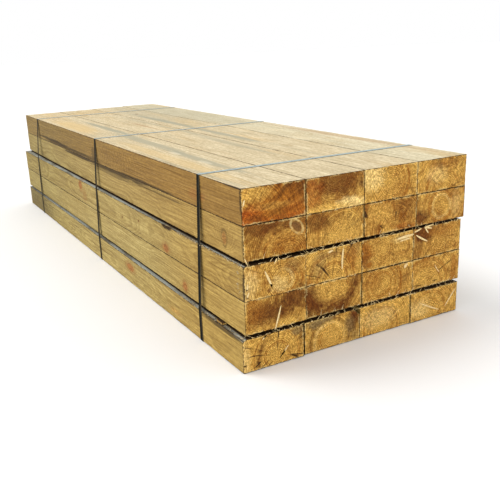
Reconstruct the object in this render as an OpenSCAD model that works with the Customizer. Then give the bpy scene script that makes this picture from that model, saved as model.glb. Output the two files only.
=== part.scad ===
// Strapped pack of rough-sawn timber sleepers, stacked in courses on thin spacer laths.
// Millimetres. X runs along the sleepers with the near end at +X, the outer long side faces -Y, Z is up.
// The origin is the middle of the pack's outline at the level of the floor.

/* [Sleepers] */
// Length of each sleeper
sleeper_length = 2600; // [1200:50:4800]
// Width of each sleeper, across the pack
sleeper_width = 200; // [100:5:300]
// Height of each sleeper
sleeper_height = 100; // [50:5:200]
// Side gap between neighbouring sleepers
column_gap = 0.8; // [0.4:0.1:5]
// Hairline between a sleeper and what it lies on
course_gap = 0.2; // [0.05:0.05:0.8]
// Wider side gap beside the outer sleeper of the bottom course
bottom_gap = 6; // [1:1:20]

/* [Spacer laths] */
// Thickness of each lath, which is the height of the gap it holds open
spacer_thickness = 8; // [4:1:30]
// Width of each lath, along the pack
spacer_width = 38; // [20:1:80]
// Distance from the ends of the pack to the middle of the end laths
spacer_end_distance = 133; // [60:1:500]
// How far the ends of the hidden laths stop short of the pack's sides
spacer_setback = 22; // [5:1:60]
// How far the end of the lath that shows stops short of the bottom course's side
shown_spacer_setback = 3; // [0:1:30]

/* [Straps] */
// Width of the steel strap
strap_width = 19; // [10:1:32]
// Thickness of the steel strap
strap_thickness = 0.8; // [0.5:0.1:1.5]
// Clearance between the strap and the wood
strap_clearance = 0.2; // [0.1:0.1:0.8]
// Distance from the near end of the pack to the near strap
strap_near_distance = 255; // [180:5:500]
// Distance from the near end of the pack to the middle strap
strap_middle_distance = 1255; // [600:5:2200]
// Distance from the far end of the pack to the far strap
strap_far_distance = 305; // [180:5:500]

/* [Seals] */
// Length of each seal, along its strap
seal_length = 32; // [20:1:60]
// Thickness of the sheet each seal is pressed from
seal_thickness = 1; // [0.5:0.1:2]
// Clearance between a seal and the strap inside it
seal_clearance = 0.1; // [0.05:0.05:0.5]
// Length of the doubled strap under a seal
strap_overlap = 110; // [60:5:200]
// Depth of the crimp notches in a seal's edges
crimp_depth = 2.4; // [1:0.2:4]

/* [Lie of the courses] */
// How far the middle pair of courses stands out at the near end
middle_pair_offset = 6; // [0:1:20]
// Turn of the middle pair of courses, in degrees
middle_pair_turn = 0.4; // [0:0.02:1]
// How far the bottom course stands out at the near end
bottom_course_offset = 14; // [0:1:20]
// Turn of the bottom course, in degrees
bottom_course_turn = 0.2; // [0:0.02:1]
// Largest step between the near ends of the sleepers
near_end_step = 10; // [0:1:30]
// Largest step between the far ends of the sleepers
far_end_step = 45; // [0:1:80]

/* [Damage] */
// Width and height of the wane on the bottom course
wane_size = 20; // [5:1:35]
// Length of the wane along the bottom sleeper
wane_length = 420; // [100:10:1000]
// Size of the broken corner on the outer sleeper of the bottom course
corner_break_size = 9; // [3:1:20]
// Length of that broken corner along the sleeper
corner_break_length = 110; // [40:5:200]
// Length of the chip on the arris of the third course
chip_length = 62; // [20:1:150]
// Depth of the chip on the arris of the third course
chip_depth = 8; // [3:1:20]
// Distance from the near end to the middle of the chip
chip_distance = 510; // [350:5:1000]

/* [Hidden] */
course_count = 5;
column_count = 4;
upper_gap_course = 2;
lower_gap_course = 4;
cut_margin = 1;
corner_segments = 16;
pack_width = column_count * sleeper_width + (column_count - 1) * column_gap;
seat_height = strap_thickness + strap_clearance;
strap_middle_x = -strap_middle_distance;
strap_near_x = -strap_near_distance;
strap_far_x = -sleeper_length + strap_far_distance;

// Share of the largest step by which each sleeper's near end stands out:
// a row for each course from the top, a value for each column from the outer one.
near_end_share = [
  [0.0, 0.2, 0.1, 0.0],
  [0.1, 0.0, 0.2, 0.1],
  [0.9, 0.4, 0.3, 0.2],
  [0.6, 0.3, 0.5, 0.3],
  [1.0, 0.5, 0.4, 0.6]
];
// The same share for the far ends.
far_end_share = [
  [0.0, 0.3, 0.6, 1.0],
  [0.1, 0.2, 0.5, 0.7],
  [0.4, 0.3, 0.6, 0.5],
  [0.3, 0.5, 0.2, 0.6],
  [0.1, 0.4, 0.5, 0.3]
];

function near_step(course, column) = near_end_step * near_end_share[course - 1][column - 1];

function far_step(course, column) = far_end_step * far_end_share[course - 1][column - 1];

function course_turn(course) =
  course <= upper_gap_course ? 0 : course <= lower_gap_course ? middle_pair_turn : bottom_course_turn;

function course_offset(course) =
  course <= upper_gap_course ? 0 : course <= lower_gap_course ? middle_pair_offset : bottom_course_offset;

// Height of the underside of a course; course 1 is the top one.
function course_level(course) =
  seat_height
  + (course_count - course) * (sleeper_height + course_gap)
  + (course <= upper_gap_course ? spacer_thickness : 0)
  + (course <= lower_gap_course ? spacer_thickness : 0);

// Sideways push of the outer sleeper of the bottom course, which leaves the wider gap.
function outer_push(course, column) =
  course == course_count && column == 1 ? bottom_gap - column_gap : 0;

// Place of a sleeper's outer side in its own course.
function sleeper_side(course, column) =
  (column - 1) * (sleeper_width + column_gap) - outer_push(course, column);

// Place of a course's outer side at x along the pack.
function outer_side(course, x) =
  -course_offset(course) + x * tan(course_turn(course)) - outer_push(course, 1);

// Place of a course's inner side, on the far side of the pack, at x along the pack.
function inner_side(course, x) =
  -course_offset(course) + x * tan(course_turn(course)) + pack_width / cos(course_turn(course));

// Extent of the whole pack, straps and seals included, which centres it on the origin.
far_x = -sleeper_length - far_step(1, column_count);
near_x = near_step(course_count, 1);
low_y = min(
  outer_side(4, -sleeper_length - far_step(4, 1)),
  outer_side(5, -sleeper_length - far_step(5, 1)),
  outer_side(5, strap_far_x - strap_width / 2) - strap_clearance - strap_thickness
);
seal_outer_y = pack_width + strap_clearance + 2 * strap_thickness + seal_clearance + seal_thickness;
center_x = (far_x + near_x) / 2;
center_y = (low_y + seal_outer_y) / 2;

sleeper_color = [0.78, 0.62, 0.36];
spacer_color = [0.72, 0.58, 0.38];
strap_color = [0.16, 0.17, 0.18];
seal_color = [0.28, 0.3, 0.32];

spacer_places = ["near", "middle", "far"];

function sleeper_name(course, column) = str("sleeper_course", course, "_column", column);

// Everything is placed from the near outer corner of the top course and then centred on the origin.
module centered() {
  translate([-center_x, -center_y, 0]) children();
}

// Lays children in a course: they are drawn from the course's near outer corner, at its underside.
module in_course(course) {
  translate([0, -course_offset(course), course_level(course)])
    rotate([0, 0, course_turn(course)])
      children();
}

// Solid beyond the plane that cuts the three edges of a corner at the given distances back from it.
// The corner is at the origin and the timber lies on the negative side of all three axes.
module corner_cut(along, across, down) {
  slope = [1 / along, 1 / across, 1 / down];
  size = 4 * along;
  translate([-along, 0, 0])
    rotate([0, acos(slope[2] / norm(slope)), atan2(slope[1], slope[0])])
      translate([-size / 2, -size / 2, 0])
        cube(size);
}

// Scoop out of an arris that runs along X through the origin.
module arris_chip() {
  scoop_radius = (chip_length * chip_length / 4 + chip_depth * chip_depth) / (2 * chip_depth);
  scoop_length = 8 * chip_depth;
  rotate([45, 0, 0])
    translate([0, 0, scoop_radius - chip_depth])
      rotate([90, 0, 0])
        cylinder(r = scoop_radius, h = scoop_length, center = true, $fn = 48);
}

module sawn_sleeper(course, column) {
  back_x = -sleeper_length - far_step(course, column);
  total_length = sleeper_length + far_step(course, column) + near_step(course, column);
  translate([back_x, sleeper_side(course, column), 0])
    cube([total_length, sleeper_width, sleeper_height]);
}

module sleeper(course, column) {
  outer_y = sleeper_side(course, column);
  front_x = near_step(course, column);
  color(sleeper_color)
    centered()
      in_course(course)
        difference() {
          sawn_sleeper(course, column);
          if (course == course_count && column == 2)
            translate([front_x, outer_y + sleeper_width, sleeper_height])
              corner_cut(wane_length, wane_size, wane_size);
          if (course == course_count && column == 1)
            translate([front_x, outer_y, sleeper_height])
              mirror([0, 1, 0])
                corner_cut(corner_break_length, corner_break_size, corner_break_size);
          if (course == 3 && column == 1)
            translate([-chip_distance, outer_y, sleeper_height])
              arris_chip();
        }
}

module spacer(gap, place) {
  course = gap == "upper" ? upper_gap_course + 1 : course_count;
  middle_x = place == "near" ? -spacer_end_distance
    : place == "far" ? -sleeper_length + spacer_end_distance
    : -sleeper_length / 2;
  shows = gap == "lower" && place == "near";
  low_end = shows ? outer_side(course, middle_x) + shown_spacer_setback : spacer_setback;
  high_end = pack_width - spacer_setback;
  seat_level = course_level(course) + sleeper_height + course_gap / 2;
  color(spacer_color)
    centered()
      translate([middle_x - spacer_width / 2, low_end, seat_level])
        cube([spacer_width, high_end - low_end, spacer_thickness]);
}

// Outline round the section of the pack between two places along it.
module pack_outline(low_x, high_x) {
  hull()
    for (course = [1 : course_count], x = [low_x, high_x])
      translate([outer_side(course, x), course_level(course)])
        square([inner_side(course, x) - outer_side(course, x), sleeper_height]);
}

module strap(middle_x) {
  low_x = middle_x - strap_width / 2;
  high_x = middle_x + strap_width / 2;
  overlap = min(strap_overlap, 2 * sleeper_height - 4 * cut_margin);
  color(strap_color)
    centered()
      union() {
        translate([low_x, 0, 0])
          rotate([90, 0, 90])
            linear_extrude(height = strap_width)
              difference() {
                offset(r = strap_clearance + strap_thickness, $fn = corner_segments)
                  pack_outline(low_x, high_x);
                offset(r = strap_clearance, $fn = corner_segments)
                  pack_outline(low_x, high_x);
              }
        translate([low_x, pack_width + strap_clearance + strap_thickness / 2, course_level(1) - overlap / 2])
          cube([strap_width, strap_thickness * 3 / 2, overlap]);
      }
}

module seal(middle_x) {
  inner_width = strap_width + 2 * seal_clearance;
  outer_width = inner_width + 2 * seal_thickness;
  back_y = pack_width + strap_clearance;
  plate_y = seal_outer_y - seal_thickness;
  length = min(seal_length, 2 * sleeper_height - 4 * cut_margin);
  notch_side = crimp_depth * sqrt(2);
  color(seal_color)
    centered()
      translate([middle_x, 0, course_level(1)])
        difference() {
          translate([-outer_width / 2, back_y, -length / 2])
            cube([outer_width, seal_outer_y - back_y, length]);
          translate([-inner_width / 2, back_y - cut_margin, -length / 2 - cut_margin])
            cube([inner_width, plate_y - back_y + cut_margin, length + 2 * cut_margin]);
          for (side = [-1, 1], level = [-length / 4, length / 4])
            translate([side * outer_width / 2, back_y, level])
              rotate([0, 45, 0])
                translate([-notch_side / 2, -cut_margin, -notch_side / 2])
                  cube([notch_side, seal_outer_y - back_y + 2 * cut_margin, notch_side]);
        }
}

for (course = [1 : course_count], column = [1 : column_count])
  sleeper(course, column);
for (gap = ["upper", "lower"], place = spacer_places)
  spacer(gap, place);
strap(strap_near_x);  // strap_near
strap(strap_middle_x);  // strap_middle
strap(strap_far_x);  // strap_far
seal(strap_near_x);  // seal_near
seal(strap_middle_x);  // seal_middle
seal(strap_far_x);  // seal_far
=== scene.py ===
import math
import bpy
import numpy as np
from mathutils import Matrix, Vector
from mathutils.bvhtree import BVHTree


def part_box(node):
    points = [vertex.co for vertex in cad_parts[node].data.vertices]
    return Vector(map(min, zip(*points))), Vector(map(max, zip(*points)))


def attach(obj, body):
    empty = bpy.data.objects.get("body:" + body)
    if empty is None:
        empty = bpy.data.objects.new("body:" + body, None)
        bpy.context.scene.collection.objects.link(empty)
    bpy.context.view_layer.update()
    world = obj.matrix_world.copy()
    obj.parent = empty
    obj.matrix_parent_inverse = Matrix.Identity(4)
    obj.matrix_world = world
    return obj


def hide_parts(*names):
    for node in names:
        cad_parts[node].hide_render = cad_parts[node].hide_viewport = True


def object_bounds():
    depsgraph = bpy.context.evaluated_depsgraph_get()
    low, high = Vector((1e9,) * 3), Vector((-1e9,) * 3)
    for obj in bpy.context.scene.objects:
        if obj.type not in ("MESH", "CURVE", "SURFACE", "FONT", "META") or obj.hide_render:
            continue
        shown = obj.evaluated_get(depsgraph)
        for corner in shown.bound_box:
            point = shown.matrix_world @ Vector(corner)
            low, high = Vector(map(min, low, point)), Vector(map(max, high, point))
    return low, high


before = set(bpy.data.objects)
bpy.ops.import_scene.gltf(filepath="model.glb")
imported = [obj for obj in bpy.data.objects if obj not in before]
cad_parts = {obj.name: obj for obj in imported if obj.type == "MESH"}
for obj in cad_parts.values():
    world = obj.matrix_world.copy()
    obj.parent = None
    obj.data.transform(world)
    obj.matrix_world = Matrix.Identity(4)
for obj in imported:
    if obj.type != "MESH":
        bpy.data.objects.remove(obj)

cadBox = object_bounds()
print("sleeper pack: frame loaded with", len(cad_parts), "pieces")

camera = {
    "place": (2.80955, -1.18462, 0.87907),          # metres
    "right": (0.490412, 0.87065, -0.038282),        # its own axes in the pack's frame
    "up": (-0.24081, 0.177597, 0.954185),
    "back": (0.83756, -0.458725, 0.296757),
    "lens": 48.46,                                  # mm
    "sensor": 36.0,                                 # mm
    "clip": (0.05, 100.0),
}
lens = bpy.data.cameras.new("camera")
lens.sensor_width = camera["sensor"]
lens.lens = camera["lens"]
lens.clip_start, lens.clip_end = camera["clip"]
viewer = bpy.data.objects.new("camera", lens)
turned = Matrix((camera["right"], camera["up"], camera["back"])).transposed().to_4x4()
viewer.matrix_world = Matrix.Translation(camera["place"]) @ turned
bpy.context.collection.objects.link(viewer)
bpy.context.scene.camera = viewer

light = {
    "sky": (1.0, 1.0, 1.0, 1.0),
    "skyStrength": 1.0,
    "keyFrom": (-1.4, -1.5, 2.6),
    "keyStrength": 1.3,
    "keySpread": 35,                                # degrees: a wide source, so its shadow is soft
    "keyColour": (1.0, 0.985, 0.95),
}
sky = bpy.data.worlds.new("sky")
sky.use_nodes = True
sky.node_tree.nodes["Background"].inputs["Color"].default_value = light["sky"]
sky.node_tree.nodes["Background"].inputs["Strength"].default_value = light["skyStrength"]
bpy.context.scene.world = sky
bpy.context.scene.view_settings.view_transform = "Standard"
lamp = bpy.data.lights.new("key", "SUN")
lamp.energy = light["keyStrength"]
lamp.angle = math.radians(light["keySpread"])
lamp.color = light["keyColour"]
lampHolder = bpy.data.objects.new("key", lamp)
lampHolder.rotation_mode = "QUATERNION"
lampHolder.rotation_quaternion = (-Vector(light["keyFrom"])).to_track_quat("-Z", "Y")
bpy.context.collection.objects.link(lampHolder)
print("camera and light placed")


# short names for the nodes that every tree below is built from
def wire(tree, source, socket):
    if isinstance(source, bpy.types.NodeSocket):
        tree.links.new(source, socket)
    elif socket.type == "RGBA" and len(source) == 3:
        socket.default_value = (*source, 1)
    else:
        socket.default_value = source


def put(tree, kind, wires=None, **settings):
    node = tree.nodes.new(kind)
    for name, value in settings.items():
        setattr(node, name, value)
    for name, source in (wires or {}).items():
        wire(tree, source, node.inputs[name])
    return node


def calc(tree, job, *terms, clamp=False):
    node = put(tree, "ShaderNodeMath", operation=job, use_clamp=clamp)
    for number, term in enumerate(terms):
        wire(tree, term, node.inputs[number])
    return node.outputs[0]


def times(tree, first, second):
    return calc(tree, "MULTIPLY", first, second)


def steer(tree, job, *terms):                       # vector arithmetic
    node = put(tree, "ShaderNodeVectorMath", operation=job)
    for number, term in enumerate(terms):
        wire(tree, term, node.inputs[number])
    return node.outputs["Value" if job == "LENGTH" else "Vector"]


def axisOf(tree, vector, axis):
    return put(tree, "ShaderNodeSeparateXYZ", {0: vector}).outputs[axis]


def vectorOf(tree, **axes):
    return put(tree, "ShaderNodeCombineXYZ", axes).outputs[0]


def ramp(tree, value, start, end, low=0.0, high=1.0):   # smooth step from start to end
    return put(tree, "ShaderNodeMapRange", {
        "Value": value, "From Min": start, "From Max": end, "To Min": low, "To Max": high},
        interpolation_type="SMOOTHSTEP").outputs["Result"]


def mixed(tree, share, under, over, mode="MIX"):
    node = put(tree, "ShaderNodeMix", {0: share, 6: under, 7: over}, data_type="RGBA", blend_type=mode)
    return node.outputs[2]


def tinted(tree, share, colour, tint):              # the colour times the tint, by its share
    return mixed(tree, share, colour, tint, "MULTIPLY")


def shaded(tree, colour, pattern, dark, bright, share=1.0):
    return tinted(tree, share, colour, mixed(tree, pattern, dark, bright))


def noise(tree, spot, stretch, detail=2.0, rough=0.5, colour=False):
    spread = steer(tree, "MULTIPLY", spot, stretch)
    node = put(tree, "ShaderNodeTexNoise", {
        "Vector": spread, "Scale": 1.0, "Detail": detail, "Roughness": rough})
    return node.outputs["Color" if colour else "Fac"]


def sway(tree, spot, stretch, detail=2.0, rough=0.5):   # noise either side of zero
    return calc(tree, "SUBTRACT", noise(tree, spot, stretch, detail, rough), 0.5)


def vectorSway(tree, spot, stretch, detail=2.0):
    return steer(tree, "SUBTRACT", noise(tree, spot, stretch, detail, colour=True), (0.5, 0.5, 0.5))


def newGroup(name, takes, gives):
    tree = bpy.data.node_groups.new(name, "ShaderNodeTree")
    for label, kind, value in takes:
        socket = tree.interface.new_socket(label, in_out="INPUT", socket_type="NodeSocket" + kind)
        socket.default_value = value
    for label, kind in gives:
        tree.interface.new_socket(label, in_out="OUTPUT", socket_type="NodeSocket" + kind)
    return tree, tree.nodes.new("NodeGroupInput").outputs, tree.nodes.new("NodeGroupOutput").inputs


def useGroup(tree, name, wires):                    # a shared effect with its own values
    node = tree.nodes.new("ShaderNodeGroup")
    node.node_tree = effects[name]
    for label, source in wires.items():
        wire(tree, source, node.inputs[label])
    return node.outputs


def newMaterial(name):
    made = bpy.data.materials.new(name)
    made.use_nodes = True
    made.node_tree.nodes.clear()
    return made, made.node_tree


def finishWith(tree, sockets):                      # the surface shader, with its plain values and links
    shader = put(tree, "ShaderNodeBsdfPrincipled", sockets)
    put(tree, "ShaderNodeOutputMaterial", {"Surface": shader.outputs["BSDF"]})


def bumpFrom(tree, height, strength, distance):
    return put(tree, "ShaderNodeBump", {
        "Strength": strength, "Distance": distance, "Height": height}).outputs["Normal"]


# shared effects; a stretch is how many waves of noise go to a metre along x, y and z
def growthRings():                                  # rings round a pith that wanders along the trunk
    tree, take, give = newGroup("growthRings", [
        ("Position", "Vector", (0, 0, 0)), ("Pith", "Vector", (0, 0, 0)), ("Drift", "Vector", (0, 0, 0)),
        ("Ring Width", "Float", 0.005), ("Wobble", "Float", 0.004), ("Wander", "Vector", (0, 0.02, 0.015)),
        ("Push", "Float", 0.0), ("Seed", "Vector", (0, 0, 0))],
        [("Ring", "Float"), ("Radius", "Float"), ("Spoke", "Vector")])
    crossOnly = (0, 1, 1)
    swirlShare, yearsPerMetre, yearSpread = 2.6, 45, 3.2
    x = axisOf(tree, take["Position"], "X")
    seeded = steer(tree, "ADD", take["Position"], take["Seed"])
    wander = steer(tree, "MULTIPLY", vectorSway(tree, seeded, (1.3, 0, 0), 1.0), take["Wander"])
    heart = steer(tree, "MULTIPLY_ADD", take["Drift"], vectorOf(tree, X=x, Y=x, Z=x), take["Pith"])
    spoke = steer(tree, "SUBTRACT", steer(tree, "SUBTRACT", take["Position"], heart), wander)
    spoke = steer(tree, "MULTIPLY", spoke, crossOnly)
    wave = sway(tree, seeded, (1.6, 20, 20))
    swirl = sway(tree, seeded, (5, 7, 7), 1.0)
    radius = calc(tree, "MULTIPLY_ADD", wave, take["Wobble"], steer(tree, "LENGTH", spoke))
    radius = calc(tree, "MULTIPLY_ADD", swirl, times(tree, take["Wobble"], swirlShare), radius)
    pushed = calc(tree, "ADD", radius, take["Push"])
    years = put(tree, "ShaderNodeTexNoise", {
        "W": times(tree, pushed, yearsPerMetre), "Scale": 1.0, "Detail": 1.0},
        noise_dimensions="1D").outputs["Fac"]
    phase = calc(tree, "MULTIPLY_ADD", years, yearSpread, calc(tree, "DIVIDE", pushed, take["Ring Width"]))
    year = calc(tree, "FRACT", phase)
    late = times(tree, ramp(tree, year, 0.2, 0.82), ramp(tree, year, 1.0, 0.88))
    wire(tree, late, give["Ring"])
    wire(tree, radius, give["Radius"])
    wire(tree, steer(tree, "NORMALIZE", spoke), give["Spoke"])
    return tree


def endGrain():                                     # rays, arcs, drying checks and fuzz on a cross cut
    tree, take, give = newGroup("endGrain", [
        ("Position", "Vector", (0, 0, 0)), ("Spoke", "Vector", (0, 0, 0)), ("Radius", "Float", 0.0),
        ("Seed", "Vector", (0, 0, 0))],
        [("Rays", "Float"), ("Checks", "Float"), ("Arcs", "Float"), ("Fuzz", "Float"), ("Mottle", "Float")])
    plain = (1, 1, 1)
    rayStretch, checkStretch, arcStretch = (1, 24, 24), (1, 2.1, 2.1), (0, 7, 7)
    alongRay, acrossArc = 9.0, 210
    radius = take["Radius"]

    def polar(stretch, depth):                      # noise space that turns with the spoke
        turned = steer(tree, "MULTIPLY", take["Spoke"], stretch)
        return steer(tree, "ADD", steer(tree, "ADD", turned, depth), take["Seed"])

    outward = vectorOf(tree, X=times(tree, radius, alongRay))
    rays = calc(tree, "SUBTRACT", noise(tree, polar(rayStretch, outward), plain, 2.0, 0.6), 0.5)
    crack = calc(tree, "ABSOLUTE", sway(tree, polar(checkStretch, outward), (0.4, 1, 1), 1.2))
    depth = vectorOf(tree, X=times(tree, radius, acrossArc))
    wire(tree, ramp(tree, noise(tree, polar(arcStretch, depth), plain, 2.0, 0.6), 0.32, 0.68), give["Arcs"])
    seeded = steer(tree, "ADD", take["Position"], take["Seed"])
    split = times(tree, ramp(tree, noise(tree, seeded, (3, 24, 24), 1.0), 0.44, 0.56),
                  ramp(tree, radius, 0.006, 0.02))
    clear = ramp(tree, radius, 0.012, 0.05)         # no rays at the pith itself
    wire(tree, calc(tree, "MULTIPLY_ADD", rays, clear, 0.5), give["Rays"])
    wire(tree, times(tree, ramp(tree, crack, 0.022, 0.004), split), give["Checks"])
    coarse = times(tree, noise(tree, seeded, (90, 185, 185), 2.0, 0.6), 0.3)
    fuzz = calc(tree, "MULTIPLY_ADD", noise(tree, seeded, (160, 420, 420), 2.0, 0.7), 0.8, coarse)
    wire(tree, ramp(tree, fuzz, 0.37, 0.73), give["Fuzz"])
    wire(tree, noise(tree, seeded, (6, 30, 34), 3.0, 0.6), give["Mottle"])
    return tree


def sawnFibre():                                    # long fibre streaks and the saw's cross strokes
    tree, take, give = newGroup("sawnFibre", [
        ("Position", "Vector", (0, 0, 0)), ("Seed", "Vector", (0, 0, 0))],
        [("Fine", "Float"), ("Broad", "Float"), ("Grit", "Float"), ("Lines", "Float"), ("Strokes", "Float")])
    sawBend = (0.03, 0, 0)
    seeded = steer(tree, "ADD", take["Position"], take["Seed"])
    wire(tree, ramp(tree, noise(tree, seeded, (8, 230, 230), 3.0, 0.65), 0.3, 0.7), give["Fine"])
    wire(tree, ramp(tree, noise(tree, seeded, (2.2, 60, 60), 3.0, 0.6), 0.28, 0.72), give["Broad"])
    wire(tree, ramp(tree, noise(tree, seeded, (70, 170, 170), 3.0, 0.65), 0.3, 0.7), give["Grit"])
    thin = ramp(tree, noise(tree, seeded, (2.5, 330, 330), 3.0, 0.7), 0.46, 0.38)
    grouped = ramp(tree, noise(tree, seeded, (1.8, 26, 26), 2.0, 0.6), 0.42, 0.6)
    wire(tree, times(tree, thin, grouped), give["Lines"])
    bend = steer(tree, "MULTIPLY", noise(tree, seeded, (3, 9, 9), 1.0, colour=True), sawBend)
    wire(tree, noise(tree, steer(tree, "ADD", seeded, bend), (420, 5, 9), 1.0), give["Strokes"])
    return tree


def knot():                                         # a branch through the face, the grain pushed round it
    tree, take, give = newGroup("knot", [
        ("Position", "Vector", (0, 0, 0)), ("Centre", "Vector", (0, 0, 0)),
        ("Reach", "Vector", (0.01, 0.05, 0.01)), ("Swell", "Float", 0.01), ("Lean", "Float", 0.0)],
        [("Core", "Float"), ("Halo", "Float"), ("Push", "Float")])
    ragged = (0.004, 0.004, 0.004)
    swellReach = (4.5, 1.5, 2.0)                    # how far the swell goes, in reaches
    away = steer(tree, "SUBTRACT", take["Position"], take["Centre"])
    slant = times(tree, axisOf(tree, away, "Z"), take["Lean"])
    away = steer(tree, "ADD", away, vectorOf(tree, Y=slant))
    rough = vectorSway(tree, take["Position"], (90, 90, 90))
    away = steer(tree, "ADD", away, steer(tree, "MULTIPLY", rough, ragged))
    far = steer(tree, "LENGTH", steer(tree, "DIVIDE", away, take["Reach"]))
    swellSize = steer(tree, "MULTIPLY", take["Reach"], swellReach)
    wide = steer(tree, "LENGTH", steer(tree, "DIVIDE", away, swellSize))
    wire(tree, ramp(tree, far, 0.95, 0.6), give["Core"])
    broken = ramp(tree, noise(tree, take["Position"], (50, 55, 55), 3.0, 0.6), 0.35, 0.55, 0.35, 1.0)
    ringed = times(tree, ramp(tree, far, 1.4, 1.05), ramp(tree, far, 0.75, 0.95))
    wire(tree, times(tree, ringed, broken), give["Halo"])
    wire(tree, times(tree, ramp(tree, wide, 1.0, 0.1), take["Swell"]), give["Push"])
    return tree


def stain():                                        # a soft ragged patch
    tree, take, give = newGroup("stain", [
        ("Position", "Vector", (0, 0, 0)), ("Centre", "Vector", (0, 0, 0)),
        ("Reach", "Vector", (0.03, 0.03, 0.03)), ("Soft", "Float", 0.4), ("Ragged", "Float", 0.6),
        ("Grain", "Vector", (12, 60, 60))],
        [("Mask", "Float")])
    offset = steer(tree, "SUBTRACT", take["Position"], take["Centre"])
    away = steer(tree, "DIVIDE", offset, take["Reach"])
    torn = sway(tree, take["Position"], take["Grain"], 3.0, 0.65)
    far = calc(tree, "MULTIPLY_ADD", torn, times(tree, take["Ragged"], 2.0), steer(tree, "LENGTH", away))
    outer = calc(tree, "ADD", 1.0, take["Soft"])
    inner = calc(tree, "SUBTRACT", 1.0, take["Soft"])
    wire(tree, ramp(tree, far, outer, inner), give["Mask"])
    return tree


def ringBand():                                     # a stain that follows the growth rings
    tree, take, give = newGroup("ringBand", [
        ("Position", "Vector", (0, 0, 0)), ("Radius", "Float", 0.0), ("Middle", "Float", 0.06),
        ("Width", "Float", 0.012)],
        [("Mask", "Float")])
    looseShare = 2.2                                # how far the band strays, in widths
    loose = sway(tree, take["Position"], (9, 34, 34), 3.0, 0.6)
    radius = calc(tree, "MULTIPLY_ADD", loose, times(tree, take["Width"], looseShare), take["Radius"])
    off = calc(tree, "DIVIDE", calc(tree, "SUBTRACT", radius, take["Middle"]), take["Width"])
    off = calc(tree, "ABSOLUTE", off)
    patchy = ramp(tree, noise(tree, take["Position"], (9, 70, 70), 3.0, 0.6), 0.25, 0.6, 0.35, 1.0)
    wire(tree, times(tree, ramp(tree, off, 1.5, 0.0), patchy), give["Mask"])
    return tree


def weathering():                                   # what sun and rain leave on a face that looks up
    tree, take, give = newGroup("weathering", [
        ("Position", "Vector", (0, 0, 0)), ("Seed", "Vector", (0, 0, 0))],
        [("Streaks", "Float"), ("Straw", "Float"), ("Cloud", "Float")])
    seeded = steer(tree, "ADD", take["Position"], take["Seed"])
    shared = noise(tree, take["Position"], (1.4, 7, 7), 3.0, 0.6)
    wire(tree, ramp(tree, noise(tree, seeded, (1.6, 42, 42), 4.0, 0.6), 0.54, 0.72), give["Streaks"])
    wire(tree, ramp(tree, shared, 0.5, 0.72), give["Straw"])
    wire(tree, noise(tree, seeded, (5, 16, 16), 4.0, 0.6), give["Cloud"])
    return tree


effects = {make.__name__: make() for make in
           (growthRings, endGrain, sawnFibre, knot, stain, ringBand, weathering)}
print("shared effects made:", ", ".join(effects))

wood = {                                            # linear colours
    "gold": (0.825, 0.51, 0.117), "pale": (1.0, 0.76, 0.31), "brown": (0.35, 0.127, 0.014),
    "dark": (0.135, 0.037, 0.004), "orange": (0.42, 0.085, 0.006), "grey": (0.23, 0.155, 0.062),
    "sideNear": (0.475, 0.286, 0.078), "sideMid": (0.475, 0.328, 0.118), "sideFar": (0.385, 0.272, 0.094),
    # the top colours are weathered, and partly a painted highlight from above
    "top": (0.67, 0.58, 0.39), "topPale": (0.84, 0.76, 0.56), "topStraw": (0.66, 0.46, 0.19),
    "topGrey": (0.36, 0.335, 0.235), "ledge": (0.36, 0.38, 0.35), "ledgeDirt": (0.15, 0.13, 0.09),
    "knotCore": (0.13, 0.045, 0.012), "knotHeart": (0.20, 0.095, 0.028), "knotHalo": (0.30, 0.14, 0.035),
    # of the colours below, the second is near-black painted shade for gaps, joints and a chipped hollow
    "check": (0.06, 0.025, 0.006), "paintedGapShade": (0.035, 0.018, 0.006), "rust": (0.34, 0.13, 0.035),
    "sap": (0.05, 0.03, 0.011),
}
# what the late wood and the streaks multiply a face's colour by
lateTints = {"side": (0.50, 0.43, 0.34), "top": (0.74, 0.64, 0.50), "end": (0.52, 0.42, 0.30)}
lineTint = (0.58, 0.52, 0.44)
# the dark and the bright side of each pattern on each kind of face
sideShades = {
    "Fine": ((0.77, 0.73, 0.65), (1.20, 1.23, 1.29)),
    "Broad": ((0.88, 0.86, 0.82), (1.08, 1.10, 1.14)),
    "Grit": ((0.87, 0.85, 0.81), (1.11, 1.12, 1.14)),
    "ripples": ((0.87, 0.84, 0.80), (1.07, 1.07, 1.07)),
}
topShades = {
    "Fine": ((0.78, 0.74, 0.66), (1.15, 1.16, 1.20)),
    "Cloud": ((0.80, 0.77, 0.71), (1.15, 1.16, 1.19)),
    "Grit": ((0.82, 0.79, 0.73), (1.13, 1.14, 1.16)),
    "ledge": ((0.85, 0.84, 0.80), (1.12, 1.12, 1.11)),
}
endShades = {
    "Rays": ((0.52, 0.42, 0.30), (1.5, 1.55, 1.6)),
    "Fuzz": ((0.63, 0.56, 0.44), (1.37, 1.40, 1.43)),
    "Arcs": ((0.55, 0.46, 0.34), (1.38, 1.42, 1.46)),
    "knot": ((0.55, 0.50, 0.45), (1.4, 1.4, 1.4)),
}
# how strongly each of these covers what is under it
cover = {"straw": 0.45, "topRings": 0.4, "tornFibreHighlight": 0.5, "arrisShade": 0.85, "knotHalo": 0.5, "knotCore": 0.85}
# how soft and how ragged the edge of each kind of patch is
patchEdges = {
    "stain": {"Soft": 0.55, "Ragged": 0.75},
    "bandLimit": {"Soft": 0.6, "Ragged": 0.4},
    "mark": {"Soft": 0.35, "Ragged": 0.9, "Grain": (9, 190, 190)},
    "ripples": {"Soft": 0.5, "Ragged": 0.6},
}
# what stands out of the surface, in parts of the bump's distance in metres
relief = {
    "fine": 0.5, "strokes": 0.25, "rings": 0.18, "fuzz": 1.3, "checks": 1.6,
    "strength": 0.55, "distance": 0.0012,
}
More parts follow.
